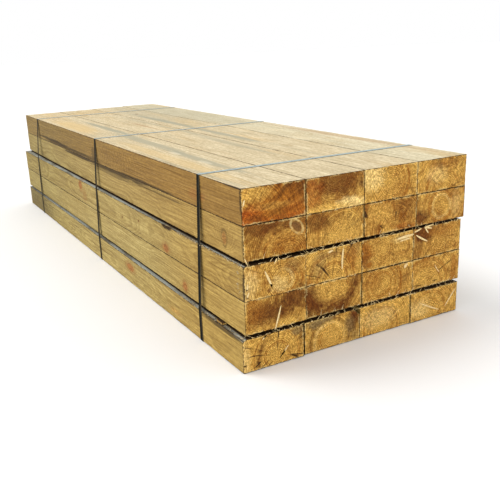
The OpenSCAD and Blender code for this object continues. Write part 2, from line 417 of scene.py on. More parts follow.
# metres in from an arris: how ragged the pale torn fibre with its painted highlight and the painted shade
# along the joints are, and where that highlight is none and full
arrisLook = {"ragged": 0.0020, "endRagged": 0.0016, "tornFibreHighlightNone": 0.006, "tornFibreHighlightFull": 0.003}


def patch(tree, spot, kind, centre, reach):
    wires = {"Position": spot, "Centre": centre, "Reach": reach, **patchEdges[kind]}
    return useGroup(tree, "stain", wires)["Mask"]


def sideColour(tree, look, spot, rings, fibre):     # warmer towards the near end, darker towards the far end, paler at mid-length
    x = axisOf(tree, spot, "X")
    colour = mixed(tree, ramp(tree, x, -1.0, 1.2), wood["sideFar"], wood["sideNear"])
    middle = times(tree, ramp(tree, x, -0.9, 0.1), ramp(tree, x, 1.15, 0.5))
    colour = mixed(tree, times(tree, middle, look["midShare"]), colour, wood["sideMid"])
    colour = tinted(tree, 1.0, colour, look["side"])
    colour = tinted(tree, times(tree, rings["Ring"], look["grain"]), colour, lateTints["side"])
    for pattern in ("Fine", "Broad", "Grit"):
        colour = shaded(tree, colour, fibre[pattern], *sideShades[pattern])
    colour = tinted(tree, fibre["Lines"], colour, lineTint)
    if look["ripples"]:
        centre, reach, pitch = look["ripples"]
        bend = 0.13                                 # metres that the saw's marks lean along x
        bent = calc(tree, "MULTIPLY_ADD", noise(tree, spot, (7, 22, 22), 3.0), bend, x)
        swing = calc(tree, "SINE", times(tree, bent, 2 * math.pi / pitch))
        zone = patch(tree, spot, "ripples", centre, reach)
        colour = shaded(tree, colour, ramp(tree, swing, -1.0, 1.0), *sideShades["ripples"], zone)
    return colour


def topColour(tree, look, rings, fibre, sun):       # bleached, with straw and grey left by the weather, and paler still as a painted highlight from above
    colour = tinted(tree, 1.0, wood["top"], look["topTint"])
    colour = mixed(tree, times(tree, sun["Straw"], cover["straw"]), colour, wood["topStraw"])
    colour = mixed(tree, times(tree, sun["Streaks"], look["greying"]), colour, wood["topGrey"])
    colour = tinted(tree, times(tree, rings["Ring"], cover["topRings"]), colour, lateTints["top"])
    colour = shaded(tree, colour, fibre["Fine"], *topShades["Fine"])
    colour = shaded(tree, colour, sun["Cloud"], *topShades["Cloud"])
    return shaded(tree, colour, fibre["Grit"], *topShades["Grit"])


def ledgeColour(tree, look, spot, fibre, sun):      # grey with dirt where it shows; inside the gap, near-black painted shade
    gapStart, gapEnd = look["ledge"] - 0.0025, look["ledge"] + 0.004
    gapShadeMask = ramp(tree, axisOf(tree, spot, "Y"), gapStart, gapEnd)
    colour = mixed(tree, ramp(tree, sun["Cloud"], 0.3, 0.6), wood["ledgeDirt"], wood["ledge"])
    colour = shaded(tree, colour, fibre["Grit"], *topShades["ledge"])
    # inside the gap the colour is near-black painted shade
    return mixed(tree, gapShadeMask, colour, wood["paintedGapShade"])


def endColour(tree, look, spot, rings, cut):        # the cross cut
    near, middleY, middleZ = look["near"]
    toneAndPaintedShading = calc(tree, "SUBTRACT", cut["Mottle"], 0.5)
    # each sleeper's gold value sets its own tone and also paints shading across the near ends, darker at the
    # top left, lighter to the right
    toneAndPaintedShading = calc(tree, "MULTIPLY_ADD", toneAndPaintedShading, 2.0, look["gold"], clamp=True)
    colour = mixed(tree, toneAndPaintedShading, wood["brown"], wood["gold"])
    colour = tinted(tree, times(tree, rings["Ring"], look["ringDepth"]), colour, lateTints["end"])
    for tint, strength, middle, width, limit in look["bands"]:
        band = useGroup(tree, "ringBand", {
            "Position": spot, "Radius": rings["Radius"], "Middle": middle / 1000,
            "Width": width / 1000})["Mask"]
        if limit:
            u, v, reachU, reachV = (value / 1000 for value in limit)
            centre = (near, middleY + u, middleZ + v)
            band = times(tree, band, patch(tree, spot, "bandLimit", centre, (0.5, reachU, reachV)))
        colour = mixed(tree, times(tree, band, strength), colour, wood[tint])
    for tint, strength, *placed in look["stains"]:
        u, v, reachU, reachV = (value / 1000 for value in placed)
        mask = patch(tree, spot, "stain", (near, middleY + u, middleZ + v), (0.6, reachU, reachV))
        colour = mixed(tree, times(tree, mask, strength), colour, wood[tint])
    colour = shaded(tree, colour, ramp(tree, cut["Rays"], 0.3, 0.7), *endShades["Rays"], look["rays"])
    colour = mixed(tree, times(tree, cut["Checks"], look["checks"]), colour, wood["check"])
    colour = shaded(tree, colour, cut["Fuzz"], *endShades["Fuzz"])
    return shaded(tree, colour, cut["Arcs"], *endShades["Arcs"], look["arcs"])


def arrisColour(tree, look, colour, isEnd, fibre, cut):     # pale torn fibre, partly a painted highlight, on the cross cuts, then near-black painted shade along every arris
    lip = put(tree, "ShaderNodeAttribute", attribute_name="arris").outputs["Fac"]
    depth = calc(tree, "MULTIPLY_ADD", isEnd, arrisLook["endRagged"], arrisLook["ragged"])
    ragged = calc(tree, "MULTIPLY_ADD", calc(tree, "SUBTRACT", fibre["Grit"], 0.5), depth, lip)
    # pale lip on the cross cuts: torn fibre, and a painted highlight
    tornFibreHighlightPatches = times(tree, isEnd, ramp(tree, cut["Mottle"], 0.44, 0.62))
    tornFibreHighlight = ramp(tree, ragged, arrisLook["tornFibreHighlightNone"], arrisLook["tornFibreHighlightFull"])
    tornFibreHighlight = times(tree, tornFibreHighlight, tornFibreHighlightPatches)
    colour = mixed(tree, times(tree, tornFibreHighlight, cover["tornFibreHighlight"]), colour, wood["pale"])
    # near-black painted shade along the arris, where the joints are
    gapShadeReach = look["paintedGapShade"] / 1000
    arrisShade = ramp(tree, ragged, gapShadeReach, gapShadeReach * 0.4)
    return mixed(tree, times(tree, arrisShade, cover["arrisShade"]), colour, wood["paintedGapShade"])


def sawnRelief(tree, isEnd, rings, fibre, cut):
    strokes = times(tree, fibre["Strokes"], relief["strokes"])
    height = calc(tree, "MULTIPLY_ADD", fibre["Fine"], relief["fine"], strokes)
    height = calc(tree, "MULTIPLY_ADD", rings["Ring"], relief["rings"], height)
    fuzz = times(tree, times(tree, cut["Fuzz"], isEnd), relief["fuzz"])
    cracks = times(tree, times(tree, cut["Checks"], isEnd), relief["checks"])
    height = calc(tree, "SUBTRACT", calc(tree, "ADD", height, fuzz), cracks)
    return bumpFrom(tree, height, relief["strength"], relief["distance"])


def sawnWood(name, look):
    near, middleY, middleZ = look["near"]
    made, tree = newMaterial(name)
    where = put(tree, "ShaderNodeTexCoord")
    spot = where.outputs["Object"]
    facing = put(tree, "ShaderNodeSeparateXYZ", {0: where.outputs["Normal"]}).outputs
    isEnd = ramp(tree, calc(tree, "ABSOLUTE", facing["X"]), 0.55, 0.85)
    isTop = ramp(tree, facing["Z"], 0.5, 0.85)
    seed = tuple(look["seed"] * share for share in (3.1, 7.7, 5.3))

    knots = []
    push = 0.0
    for centre, reach, swell, lean, *_ in look["knots"]:
        one = useGroup(tree, "knot", {
            "Position": spot, "Centre": centre, "Reach": reach, "Swell": swell, "Lean": lean})
        knots.append(one)
        push = calc(tree, "ADD", push, one["Push"])
    pithY = middleY + look["pith"][0] / 1000
    pithZ = middleZ + look["pith"][1] / 1000
    driftY, driftZ = look["drift"]
    rings = useGroup(tree, "growthRings", {
        "Position": spot, "Pith": (0, pithY - driftY * near, pithZ - driftZ * near),
        "Drift": (0, driftY, driftZ), "Ring Width": look["ring"] / 1000, "Wobble": look["wobble"] / 1000,
        "Wander": (0, *look["wander"]), "Push": push, "Seed": seed})
    fibre = useGroup(tree, "sawnFibre", {"Position": spot, "Seed": seed})
    cut = useGroup(tree, "endGrain", {
        "Position": spot, "Spoke": rings["Spoke"], "Radius": rings["Radius"], "Seed": seed})
    sun = useGroup(tree, "weathering", {"Position": spot, "Seed": seed})

    side = sideColour(tree, look, spot, rings, fibre)
    if look["top"]:
        upper = topColour(tree, look, rings, fibre, sun)
    else:
        upper = ledgeColour(tree, look, spot, fibre, sun)
    colour = mixed(tree, isTop, side, upper)
    for tint, strength, centre, reach in look["marks"]:
        mask = patch(tree, spot, "mark", centre, reach)
        colour = mixed(tree, times(tree, mask, strength), colour, wood[tint])
    colour = mixed(tree, isEnd, colour, endColour(tree, look, spot, rings, cut))
    for one, (*_, core, halo) in zip(knots, look["knots"]):
        colour = mixed(tree, times(tree, one["Halo"], cover["knotHalo"]), colour, wood[halo])
        branch = shaded(tree, wood[core], fibre["Grit"], *endShades["knot"])
        colour = mixed(tree, times(tree, one["Core"], cover["knotCore"]), colour, branch)
    finishWith(tree, {
        "Base Color": arrisColour(tree, look, colour, isEnd, fibre, cut),
        "Roughness": calc(tree, "MULTIPLY_ADD", fibre["Fine"], 0.25, 0.66),
        "Normal": sawnRelief(tree, isEnd, rings, fibre, cut),
        "Specular IOR Level": 0.15})
    return made


# shapes of the sawn pieces
def latticeNoise(points, seed):                     # smooth noise from -1 to 1, one value to a unit cell
    spread = np.array([73856093, 19349663, 83492791])   # large primes that scatter the cells
    seedSpread, stirring = 2654435, 1274126177
    positive, lowHalf = 0x7FFFFFFF, 0xFFFF
    base = np.floor(points).astype(np.int64)
    share = points - base
    share = share * share * (3 - 2 * share)
    total = np.zeros(len(points))
    for corner in range(8):
        step = np.array([corner & 1, corner >> 1 & 1, corner >> 2 & 1])
        cell = base + step
        mark = (cell @ spread + seed * seedSpread) & positive
        mark = (mark ^ mark >> 13) * stirring & positive
        mark = (mark ^ mark >> 16) & lowHalf
        total += (2 * mark / lowHalf - 1) * np.where(step, share, 1 - share).prod(1)
    return total


lipLines = np.array([0, 0.0006, 0.0014, 0.0034, 0.007])     # metres in from an arris


def ruled(length, coarse, fine=None):               # grid lines, close together at both arrises
    leastGap, leastStep = 0.0008, 1e-6
    lip = lipLines[lipLines < (length - leastGap) / 2]
    lines = [lip, length - lip]
    inner = lip[-1]
    start, step = fine or (length - inner, coarse)
    start = min(max(start, inner), length - inner)
    lines.append(np.linspace(inner, start, max(2, round((start - inner) / coarse) + 1)))
    if fine:
        count = max(2, round((length - inner - start) / step) + 1)
        lines.append(np.linspace(start, length - inner, count))
    merged = np.sort(np.concatenate(lines))
    return merged[np.insert(np.diff(merged) > leastStep, 0, True)]


def shellOf(lines):                                 # points and outward quads of a box ruled on its surface
    shape = [len(one) for one in lines]
    shell = np.zeros(shape, bool)
    shell[[0, -1]] = True
    shell[:, [0, -1]] = True
    shell[:, :, [0, -1]] = True
    number = -np.ones(shape, int)
    number[shell] = np.arange(shell.sum())
    cells = np.argwhere(shell)
    points = np.column_stack([lines[axis][cells[:, axis]] for axis in range(3)])
    quads = []
    for end in (0, -1):
        first = end == 0
        sheets = ((number[end], first), (number[:, end], not first), (number[:, :, end], first))
        for sheet, flipped in sheets:
            ring = [sheet[:-1, :-1], sheet[1:, :-1], sheet[1:, 1:], sheet[:-1, 1:]]
            quads.append(np.stack(ring[::-1] if flipped else ring, -1).reshape(-1, 4))
    return points, np.concatenate(quads)


def meshOf(name, points, faces):
    made = bpy.data.meshes.new(name)
    count, corners = faces.shape
    made.vertices.add(len(points))
    made.vertices.foreach_set("co", np.asarray(points, np.float32).ravel())
    made.loops.add(count * corners)
    made.loops.foreach_set("vertex_index", faces.ravel().astype(np.int32))
    made.polygons.add(count)
    starts = np.arange(0, count * corners, corners, dtype=np.int32)
    made.polygons.foreach_set("loop_start", starts)
    made.polygons.foreach_set("use_smooth", np.ones(count, bool))
    made.update(calc_edges=True)
    made.validate()
    return made


def boxAxes(given):                                 # the far outer corner, the box's own axes and its size
    foot = given[given[:, 2] < given[:, 2].min() + 1e-4]
    isNear = foot[:, 0] > foot[:, 0].mean()
    nearFoot, farFoot = foot[isNear], foot[~isNear]
    corner = farFoot[farFoot[:, 1].argmin()]
    nearOuter = nearFoot[nearFoot[:, 1].argmin()]
    nearInner = nearFoot[nearFoot[:, 1].argmax()]
    axes = np.array([nearOuter - corner, nearInner - nearOuter, (0, 0, np.ptp(given[:, 2]))])
    size = np.linalg.norm(axes, axis=1)
    return corner, axes / size[:, None], size


# stretches of the noise that wears each thing, and metres round a damaged length that are ruled finely
wearStretches = {
    "chips": (34, 60, 60), "nicks": (210, 210, 210), "waves": (3, 18, 18), "pits": (90, 150, 150),
    "bark": (60, 230, 230),
}
damageRoom = {"end": 0.002, "before": 0.006, "after": 0.012, "lip": 0.008, "apart": 0.002}


def sawnShape(node, steps, wear):
    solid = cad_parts[node].data
    given = np.array([vertex.co for vertex in solid.vertices], float)
    corner, axes, size = boxAxes(given)
    length = size[0]

    alongs = ((given - corner) @ axes.T)[:, 0]
    room = damageRoom
    damage = alongs[(alongs > room["end"]) & (alongs < length - room["end"])]   # where it begins and ends
    fine = (length - steps["fineLength"], steps["fine"]) if steps["fineLength"] else None
    xs = ruled(length, steps["along"], fine)
    if len(damage) and fine:
        start = damage.min() - room["before"]
        extra = np.arange(start, min(damage.max() + room["after"], length - room["lip"]), steps["fine"])
        isClear = (xs < start - room["apart"]) | (xs > extra[-1] + room["apart"])
        xs = np.sort(np.concatenate([xs[isClear], extra]))
    points, quads = shellOf([xs, ruled(size[1], steps["across"]), ruled(size[2], steps["across"])])
    arris = np.sort(np.minimum(points, size - points), axis=1)[:, 1]
    spot = points + corner

    def wornBy(kind, where, offset):                # noise from -1 to 1, with a seed of its own
        return latticeNoise(where * wearStretches[kind], wear["seed"] + offset)

    # arrises: a small round, opening to torn and bruised places
    chipped = np.maximum(0, wornBy("chips", spot, 0) - 0.25) ** 1.5
    worn = wear["arris"] + wear["chips"] * chipped + wear["nicks"] * wornBy("nicks", spot, 1)
    worn = np.clip(worn, wear["least"], size.min() * 0.45)[:, None]
    core = np.clip(points, worn, size - worn)
    out = points - core
    out /= np.linalg.norm(out, axis=1)[:, None]
    points = core + out * worn
    # the faces are never flat: wavy along, and rougher on the cross cuts
    waves = 0.5 + 0.5 * wornBy("waves", spot, 2)
    pits = 0.5 + 0.5 * wornBy("pits", spot, 3)
    sunk = wear["waves"] * waves + np.abs(out[:, 0]) * wear["endRough"] * pits
    points -= out * sunk[:, None]
    points = points @ axes + corner

    if len(damage):                                 # where the solid is cut away, lie on it, roughly
        tree = BVHTree.FromPolygons([vertex.co for vertex in solid.vertices],
                                    [face.vertices[:] for face in solid.polygons])
        bark = wear["bark"] * (0.5 + 0.5 * wornBy("bark", points, 4))
        leastOut = 2e-5
        for number, point in enumerate(points):
            onto, normal, _, _ = tree.find_nearest(Vector(point))
            if (Vector(point) - onto).dot(normal) > leastOut:
                points[number] = np.array(onto) - np.array(normal) * bark[number]
    made = meshOf(node, points, quads)
    layer = made.attributes.new("arris", "FLOAT", "POINT")
    layer.data.foreach_set("value", arris.astype(np.float32))
    return made


def addPiece(name, mesh, material, stands=()):
    piece = bpy.data.objects.new(name, mesh)
    bpy.context.collection.objects.link(piece)
    mesh.materials.append(material)
    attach(piece, "root")
    if stands:
        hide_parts(*stands)


# sleepers; on the near end u runs 100 mm each way across and v 50 mm up and down, from its middle
ordinary = {
    "pith": (0, 0), "ring": 4.6, "wobble": 7, "drift": (0.012, -0.008), "wander": (0.02, 0.015),
    "gold": 0.62, "side": (1, 1, 1), "midShare": 0.0, "grain": 0.42, "topTint": (1, 1, 1), "greying": 0.5,
    # one value below is how far, in mm, the painted shade along the joints reaches in from an arris
    "ringDepth": 0.95, "paintedGapShade": 2.2, "rays": 0.25, "arcs": 0.7, "checks": 0.35, "bands": [], "stains": [],
    "knots": [], "marks": [], "ripples": None, "top": False,
    "ledge": -1.0,                                  # where the course above begins, and with it the painted shade of its gap: none, so the whole upper face is painted in shade
}
# for each course: its side's tint, how far mid-length is paler, and where the painted shade in a ledge's gap
# begins
courses = {
    1: {"side": (0.70, 0.66, 0.60), "midShare": 0.0, "top": True},
    2: {"side": (0.95, 1.02, 1.06), "midShare": 0.35},
    3: {"side": (0.93, 1.0, 0.98), "midShare": 1.0, "ledge": -0.3885},
    4: {"side": (1.0, 1.1, 1.12), "midShare": 1.0},
    5: {"side": (1.02, 1.13, 1.13), "midShare": 0.8, "ledge": -0.396},
}
# a sleeper's own looks, where they differ from the ordinary; lengths are in mm, but for drift, wander,
# knots, marks and ripples, which are in metres in the pack's frame
# stains: colour, strength, u, v, reach in u, reach in v
# bands: colour, strength, ring radius, half width, (u, v, reach, reach) that it keeps to or None
# knots: centre, reach, how far the grain swells round it, lean, colour of the core and of the halo
# marks: colour, strength, centre, reach
# ripples: centre, reach and pitch of the saw's marks
# gold: how golden, not brown, a near end is; it also paints shading over the ends, darker at the top left,
# lighter to the right
sleepers = {
    (1, 1): {
        "pith": (-140, -90), "gold": 0.22, "rays": 0.55, "ring": 6.5, "grain": 0.35,
        "ripples": ((0.33, -0.389, 0.468), (0.26, 0.03, 0.034), 0.026),
        "stains": [("dark", 0.85, 62, 22, 66, 38), ("brown", 0.85, 10, 4, 76, 34),
                   ("gold", 0.62, -66, 30, 52, 20), ("orange", 0.85, -84, -30, 52, 26),
                   ("brown", 0.6, 20, -36, 110, 18), ("orange", 0.35, 30, -44, 90, 10),
                   ("orange", 0.25, 70, -26, 40, 20), ("gold", 0.25, -10, -8, 60, 10),
                   ("dark", 0.6, -60, -34, 20, 12)],
        "marks": [("rust", 0.35, (1.041, -0.389, 0.454), (0.05, 0.03, 0.018)),
                  ("sap", 0.75, (-0.75, -0.389, 0.434), (0.28, 0.03, 0.006)),
                  ("sap", 0.8, (-0.25, -0.389, 0.4265), (0.34, 0.03, 0.006)),
                  ("sap", 0.7, (-0.6, -0.389, 0.428), (0.2, 0.03, 0.012)),
                  ("sap", 0.8, (0.62, -0.389, 0.421), (0.26, 0.03, 0.004)),
                  ("sap", 0.5, (0.02, -0.389, 0.45), (0.03, 0.03, 0.03)),
                  ("topStraw", 0.55, (-0.45, -0.325, 0.518), (0.3, 0.05, 0.02)),
                  ("topStraw", 0.4, (0.75, -0.34, 0.518), (0.5, 0.03, 0.02)),
                  ("topGrey", 0.9, (-0.25, -0.235, 0.518), (0.36, 0.016, 0.02)),
                  ("topGrey", 0.75, (0.33, -0.26, 0.518), (0.36, 0.022, 0.02)),
                  ("topGrey", 0.75, (0.82, -0.272, 0.518), (0.32, 0.016, 0.02)),
                  ("topPale", 0.35, (0.649, -0.284, 0.518), (0.05, 0.01, 0.02)),
                  ("topPale", 0.3, (0.89, -0.283, 0.518), (0.04, 0.01, 0.02)),
                  ("sap", 0.85, (1.29, -0.389, 0.518), (0.07, 0.004, 0.005)),
                  ("sap", 0.8, (1.316, -0.389, 0.488), (0.008, 0.02, 0.04))],
    },
    (1, 2): {
        "pith": (0, 48), "gold": 0.48, "rays": 0.3,
        "stains": [("dark", 0.72, 4, 26, 92, 42), ("orange", 0.35, -86, 8, 34, 46),
                   ("pale", 0.75, 56, -36, 50, 16), ("gold", 0.7, -30, -44, 70, 12),
                   ("gold", 0.6, 90, -4, 16, 30), ("dark", 0.7, 88, 12, 9, 14)],
        "marks": [("rust", 0.5, (-0.21, -0.07, 0.518), (0.18, 0.006, 0.02)),
                  ("topGrey", 0.5, (-0.1, -0.01, 0.518), (0.6, 0.012, 0.02)),
                  ("topGrey", 0.4, (0.55, -0.03, 0.518), (0.3, 0.02, 0.02))],
    },
    (1, 3): {
        "pith": (-2, 2), "gold": 0.9,
        "stains": [("pale", 0.6, -70, 22, 40, 34), ("brown", 0.3, 40, -26, 60, 30)],
        "bands": [("brown", 0.9, 68, 7, (60, 0, 70, 80)), ("brown", 0.6, 50, 5, (40, 10, 60, 70))],
        "marks": [("topGrey", 0.95, (-0.35, 0.078, 0.518), (0.38, 0.02, 0.02)),
                  ("topGrey", 0.85, (0.3, 0.07, 0.518), (0.36, 0.017, 0.02)),
                  ("topGrey", 0.35, (-0.75, 0.15, 0.518), (0.6, 0.09, 0.02)),
                  ("knotCore", 0.9, (-0.77, 0.1, 0.518), (0.014, 0.008, 0.02))],
    },
    (1, 4): {
        "pith": (14, -46), "gold": 0.78, "topTint": (1.03, 1.09, 1.16),
        "bands": [("brown", 0.95, 78, 8, (-50, -10, 70, 80)), ("brown", 0.5, 52, 5, None)],
        "stains": [("brown", 0.4, 10, 34, 60, 18), ("pale", 0.3, -20, 0, 40, 26)],
        "marks": [("topGrey", 0.4, (-0.6, 0.3, 0.518), (0.7, 0.1, 0.02)),
                  ("rust", 0.3, (0.7, 0.38, 0.518), (0.5, 0.02, 0.02))],
    },
    (2, 1): {
        "pith": (42, -52), "gold": 0.46,
        "bands": [("gold", 0.8, 68, 8, (-40, -20, 80, 60)), ("gold", 0.5, 92, 7, (-40, -20, 70, 60)),
                  ("dark", 0.4, 108, 14, None)],
        "stains": [("dark", 0.75, -40, 38, 80, 22), ("dark", 0.45, 60, 34, 30, 16),
                   ("brown", 0.5, 20, -20, 50, 34)],
        "knots": [((1.3175, -0.219, 0.391), (0.05, 0.017, 0.02), 0.012, 0.45, "knotHeart", "pale"),
                  ((1.21, -0.389, 0.362), (0.016, 0.04, 0.023), 0.028, 0.0, "knotHalo", "check")],
        "marks": [("sap", 0.85, (0.27, -0.389, 0.4125), (0.36, 0.03, 0.007)),
                  ("sap", 0.5, (0.27, -0.389, 0.403), (0.24, 0.03, 0.013)),
                  ("sap", 0.6, (0.72, -0.389, 0.4045), (0.22, 0.03, 0.003)),
                  ("sap", 0.9, (-0.22, -0.389, 0.411), (0.24, 0.03, 0.006)),
                  ("sap", 0.35, (1.316, -0.389, 0.375), (0.006, 0.02, 0.05))],
    },
    (2, 2): {
        "pith": (20, -30), "gold": 0.66,
        "stains": [("dark", 0.7, -66, 28, 44, 28), ("gold", 0.5, 50, -5, 40, 36),
                   ("gold", 0.4, -10, -34, 60, 14)],
        "bands": [("dark", 0.4, 60, 8, None), ("brown", 0.5, 84, 6, None)],
    },
    (2, 3): {
        "pith": (14, -40), "gold": 0.44, "checks": 1.0, "rays": 0.4,
        "stains": [("orange", 0.35, 60, -40, 40, 10), ("gold", 0.4, -40, 10, 50, 30),
                   ("dark", 0.4, 60, 20, 50, 30)],
    },
    (2, 4): {
        "pith": (4, 2), "gold": 0.66,
        "bands": [("pale", 0.3, 36, 6, None), ("brown", 0.8, 50, 8, None), ("brown", 0.5, 72, 6, None)],
        "stains": [("dark", 0.85, -86, -26, 28, 24), ("pale", 0.25, 62, 0, 22, 34)],
    },
    (3, 1): {
        "pith": (30, -8), "gold": 0.66, "wander": (0.05, 0.04), "wobble": 10,
        "bands": [("brown", 0.7, 42, 6, (66, -20, 44, 60)), ("brown", 0.7, 60, 6, (76, -20, 50, 60)),
                  ("pale", 0.4, 30, 6, (60, -20, 44, 50))],
        "stains": [("grey", 0.35, 66, 26, 24, 22), ("dark", 0.8, -14, -32, 7, 6),
                   ("pale", 0.45, -80, -6, 30, 40), ("pale", 0.4, 20, -20, 26, 22),
                   ("dark", 0.5, 92, -46, 26, 12)],
        "knots": [((0.791, -0.398, 0.23), (0.03, 0.04, 0.019), 0.045, 0.0, "rust", "knotHalo"),
                  ((-0.184, -0.405, 0.286), (0.03, 0.04, 0.027), 0.05, 0.0, "rust", "knotHalo"),
                  ((0.547, -0.4, 0.272), (0.007, 0.03, 0.006), 0.012, 0.0, "knotCore", "knotHalo"),
                  ((0.366, -0.4, 0.25), (0.007, 0.03, 0.006), 0.016, 0.0, "knotCore", "knotHalo")],
        # the first mark is a painted shadow in the chip's hollow
        "marks": [("paintedGapShade", 1.0, (0.807, -0.397, 0.305), (0.036, 0.01, 0.007)),
                  ("sap", 0.8, (1.3265, -0.394, 0.24), (0.01, 0.02, 0.06)),
                  ("knotHalo", 0.45, (-0.13, -0.405, 0.25), (0.03, 0.03, 0.03))],
    },
    (3, 2): {
        "pith": (0, -50), "gold": 1.0, "checks": 1.0, "rays": 0.45,
        "bands": [("brown", 0.7, 52, 6, None), ("brown", 0.7, 80, 7, None), ("dark", 0.3, 30, 6, None)],
        "stains": [("grey", 0.45, -45, -5, 26, 26), ("grey", 0.4, 84, 30, 18, 20),
                   ("brown", 0.7, 70, 10, 24, 34), ("grey", 0.4, -10, 30, 50, 14),
                   ("brown", 0.6, -86, -44, 24, 12)],
    },
    (3, 3): {
        "pith": (-10, 12), "gold": 0.76,
        "stains": [("brown", 0.9, -80, 8, 26, 40), ("pale", 0.4, 60, 30, 34, 10),
                   ("dark", 0.45, -84, -14, 16, 24)],
        "knots": [((1.3185, 0.036, 0.228), (0.04, 0.016, 0.011), 0.01, 0.0, "brown", "knotHalo")],
    },
    (3, 4): {
        "pith": (30, 5), "gold": 0.6,
        "stains": [("dark", 0.95, -52, 26, 40, 28), ("brown", 0.5, 20, 30, 60, 18),
                   ("dark", 0.4, -80, -10, 20, 40)],
    },
    (4, 1): {
        "pith": (-40, 45), "gold": 0.7,
        "stains": [("dark", 0.85, -14, 2, 76, 32), ("dark", 0.85, 72, 28, 54, 32),
                   ("brown", 0.5, -70, 20, 40, 40), ("gold", 0.6, -94, 0, 10, 50),
                   ("gold", 0.6, 50, -38, 50, 12)],
        "knots": [((0.93, -0.398, 0.136), (0.022, 0.04, 0.02), 0.04, 0.0, "rust", "knotHalo")],
    },
    (4, 2): {
        "pith": (4, 50), "gold": 0.66,
        "bands": [("dark", 1.0, 82, 26, (-50, -20, 130, 70)), ("dark", 0.9, 80, 16, (70, 10, 70, 60))],
        "stains": [("dark", 0.9, -84, -4, 40, 44), ("dark", 0.5, 10, -44, 80, 14),
                   ("gold", 0.4, -10, 20, 44, 26)],
    },
    (4, 3): {
        "pith": (-16, -2), "gold": 0.78,
        "bands": [("brown", 1.0, 78, 10, (60, -10, 80, 80)), ("brown", 0.6, 38, 5, None),
                  ("brown", 0.6, 56, 5, None)],
        "stains": [("brown", 0.4, -60, 20, 40, 30)],
    },
    (4, 4): {
        "pith": (-30, -40), "gold": 0.78, "checks": 1.0,
        "bands": [("brown", 0.6, 60, 6, None), ("brown", 0.6, 84, 7, None)],
        "stains": [("brown", 0.7, 88, -10, 16, 50), ("brown", 0.35, -40, 34, 40, 12)],
    },
    (5, 1): {
        "pith": (5, -16), "gold": 1.12, "checks": 1.0, "wander": (0.05, 0.04), "wobble": 9,
        "bands": [("dark", 0.85, 60, 9, (-60, -5, 54, 70)), ("brown", 0.6, 40, 5, None),
                  ("brown", 0.6, 76, 5, None)],
        "stains": [("grey", 0.8, 86, 38, 22, 14), ("pale", 0.4, -88, -10, 14, 50),
                   ("dark", 0.5, 96, 20, 8, 30)],
        "knots": [((0.437, -0.413, 0.066), (0.05, 0.03, 0.02), 0.07, 0.0, "rust", "knotHalo"),
                  ((0.859, -0.411, 0.03), (0.05, 0.03, 0.01), 0.04, 0.0, "sideNear", "sideNear")],
        # the first mark is painted shade in the joint between the first two columns
        "marks": [("paintedGapShade", 1.0, (1.2, -0.205, 0.05), (0.5, 0.012, 0.09)),
                  ("sap", 0.8, (1.2, -0.41, 0.097), (0.13, 0.012, 0.01)),
                  ("sap", 0.5, (-1.15, -0.415, 0.05), (0.35, 0.03, 0.08))],
    },
    (5, 2): {
        "pith": (-4, -26), "gold": 0.95,
        "bands": [("pale", 0.4, 54, 6, (-20, 0, 70, 60)), ("dark", 0.7, 68, 8, None),
                  ("brown", 0.6, 38, 5, None)],
        "stains": [("grey", 0.9, -58, 36, 30, 14), ("grey", 0.85, -16, 44, 26, 10),
                   ("dark", 0.85, 82, 16, 24, 30), ("grey", 0.6, 66, 6, 18, 30),
                   ("dark", 0.95, 92, 44, 22, 18), ("grey", 0.5, 88, -30, 14, 16),
                   ("gold", 0.5, 10, 0, 40, 26)],
        # these two marks are painted shade in the joints between the columns
        "marks": [("paintedGapShade", 1.0, (1.2, -0.203, 0.05), (0.5, 0.012, 0.09)),
                  ("paintedGapShade", 0.9, (1.25, -0.004, 0.1), (0.12, 0.02, 0.02))],
    },
    (5, 3): {
        "pith": (-12, -30), "gold": 1.15,
        "bands": [("brown", 0.7, 46, 6, None), ("brown", 0.75, 68, 7, None)],
        "stains": [("pale", 0.4, -20, 0, 60, 30)],
    },
    (5, 4): {
        "pith": (-20, -30), "gold": 1.02,
        "bands": [("brown", 0.5, 50, 5, None), ("brown", 0.6, 74, 6, None)],
        "stains": [("brown", 0.3, 60, 30, 40, 14), ("pale", 0.4, -60, -10, 40, 30)],
    },
}

# grid steps of the sawn pieces in metres: along, across, and finer along a stretch at the near end
outerSteps = {"along": 0.018, "across": 0.0072, "fine": 0.006, "fineLength": 0.30}
innerSteps = {"along": 0.10, "across": 0.0072, "fine": 0.006, "fineLength": 0.06}
# how deep each kind of wear goes, in metres, and the least round of an arris
sleeperWear = {
    "arris": 0.0010, "least": 0.0006, "chips": 0.006, "nicks": 0.0004, "waves": 0.0003,
    "endRough": 0.0006, "bark": 0.003,
}


def endMiddle(low, high):                           # the middle of a box's near end
    return high.x, (low.y + high.y) / 2, (low.z + high.z) / 2


for (course, column), own in sleepers.items():
    node = f"sleeper_course{course}_column{column}"
    number = course * 4 + column
    look = {**ordinary, **courses[course], **own, "seed": number * 0.37, "near": endMiddle(*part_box(node))}
    seen = column in (1, 4) or course == 1
    mesh = sawnShape(node, outerSteps if seen else innerSteps, {**sleeperWear, "seed": number * 10})
    material = sawnWood(f"sawn_wood_{course}_{column}", look)
    addPiece(f"sawn_{node}", mesh, material, [node])
print("sleepers made:", len(sleepers))

# laths between the courses
places = ("near", "middle", "far")
lathLook = {**ordinary, "pith": (0, -60), "ring": 3.5, "gold": 0.8, "side": (1.1, 1.1, 1.1)}
lathSteps = {"along": 0.006, "across": 0.012, "fine": 0.006, "fineLength": 0}
lathWear = {
    **sleeperWear, "arris": 0.0008, "chips": 0.003, "waves": 0.0002, "endRough": 0.0003, "bark": 0.0,
    "seed": 7,
}
for number, at in enumerate(places):
    for gap in ("upper", "lower"):
        node = f"spacer_{gap}_{at}"
        seed = 11 + number * 0.7 + (gap == "lower") * 0.3
        look = {**lathLook, "seed": seed, "near": endMiddle(*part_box(node))}
        mesh = sawnShape(node, lathSteps, lathWear)
        material = sawnWood(f"lath_wood_{gap}_{at}", look)
        addPiece(f"sawn_{node}", mesh, material, [node])
print("laths made")

